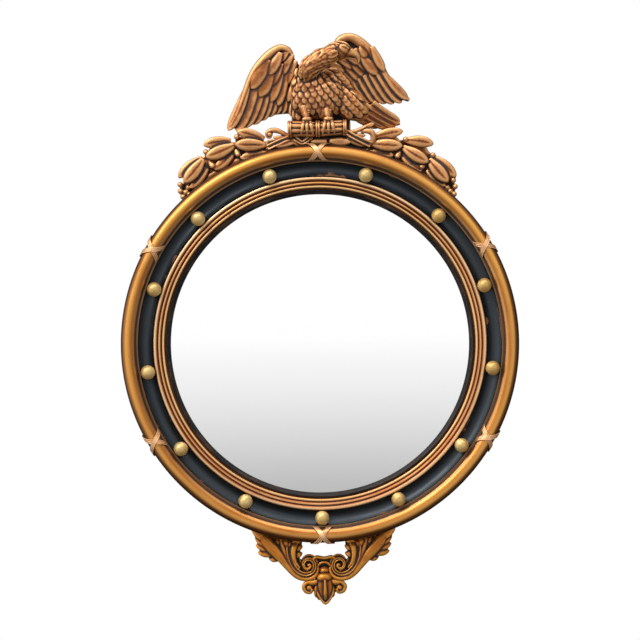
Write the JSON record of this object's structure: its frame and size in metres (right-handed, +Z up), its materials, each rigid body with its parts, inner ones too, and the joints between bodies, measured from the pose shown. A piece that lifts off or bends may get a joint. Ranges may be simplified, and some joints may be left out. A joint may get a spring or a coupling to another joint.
{
  "type": "girandole wall mirror",
  "caption": "Round convex wall mirror in a gilt and ebonised ring set with balls, with a carved eagle and laurel crest above and an acanthus apron below.",
  "frame": {"origin": "centre of the ring on the wall plane, which is the rear face of the backboard", "axes": "+Z up the wall, +Y into the wall, so the mirror faces -Y; +X to the viewer's right"},
  "size_m": [0.5098, 0.0534, 0.734],
  "materials": {
    "ring_gilt": "turned wood, gilded over red-brown clay and rubbed back on the crowns",
    "crest_gilt": "carved wood, antique gilding with dark umber wash in the hollows",
    "ball_gilt": "turned wood, pale gilding",
    "ebonised": "black polished over close-grained wood",
    "mirror_glass": "silvered convex glass",
    "board": "plain board, stained brown",
    "plain_beech": "unfinished beech",
    "steel": "zinc plated",
    "screw_brass": "dull brass",
    "felt": "dark felt pad"
  },
  "bodies": {
    "mirror_frame": {"outer_ring": "ring_gilt", "reeded_slip": "ring_gilt", "ribbon_cross_1": "ring_gilt", "ribbon_cross_2": "ring_gilt", "ribbon_cross_3": "ring_gilt", "ribbon_cross_4": "ring_gilt", "ribbon_cross_5": "ring_gilt", "ribbon_cross_6": "ring_gilt", "crest_base": "crest_gilt", "perch": "crest_gilt", "eagle_body": "crest_gilt", "wing_left": "crest_gilt", "wing_right": "crest_gilt", "eagle_tail": "crest_gilt", "leg_left": "crest_gilt", "leg_right": "crest_gilt", "ribbon_tail_left": "crest_gilt", "ribbon_tail_right": "crest_gilt", "laurel_left": "crest_gilt", "laurel_right": "crest_gilt", "acanthus_left": "crest_gilt", "acanthus_right": "crest_gilt", "husk_drop": "crest_gilt", "ball_01": "ball_gilt", "ball_02": "ball_gilt", "ball_03": "ball_gilt", "ball_04": "ball_gilt", "ball_05": "ball_gilt", "ball_06": "ball_gilt", "ball_07": "ball_gilt", "ball_08": "ball_gilt", "ball_09": "ball_gilt", "ball_10": "ball_gilt", "ball_11": "ball_gilt", "ball_12": "ball_gilt", "ball_13": "ball_gilt", "cove_ring": "ebonised", "sight_slip": "ebonised", "convex_glass": "mirror_glass", "backboard": "board", "glass_packing": "plain_beech", "crest_dowel_left": "plain_beech", "crest_dowel_right": "plain_beech", "apron_dowel_left": "plain_beech", "apron_dowel_right": "plain_beech", "hanger_strap_left": "steel", "hanger_strap_right": "steel", "hanger_screw_left": "steel", "hanger_screw_right": "steel", "board_screw_1": "screw_brass", "board_screw_2": "screw_brass", "board_screw_3": "screw_brass", "board_screw_4": "screw_brass", "board_screw_5": "screw_brass", "board_screw_6": "screw_brass", "bumper_left": "felt", "bumper_right": "felt"},
    "hook_ring_left": {"hanger_ring_left": "steel"},
    "hook_ring_right": {"hanger_ring_right": "steel"}
  },
  "joints": [
    {"name": "hanger_left_hinge", "type": "hinge", "parent": "mirror_frame", "child": "hook_ring_left", "pos_m": [-0.23375, -0.00355, 0.06263], "axis": [-0.9659, 0, 0.2588], "range_deg": [0, 175]},
    {"name": "hanger_right_hinge", "type": "hinge", "parent": "mirror_frame", "child": "hook_ring_right", "pos_m": [0.23375, -0.00355, 0.06263], "axis": [-0.9659, 0, -0.2588], "range_deg": [0, 175]}
  ]
}
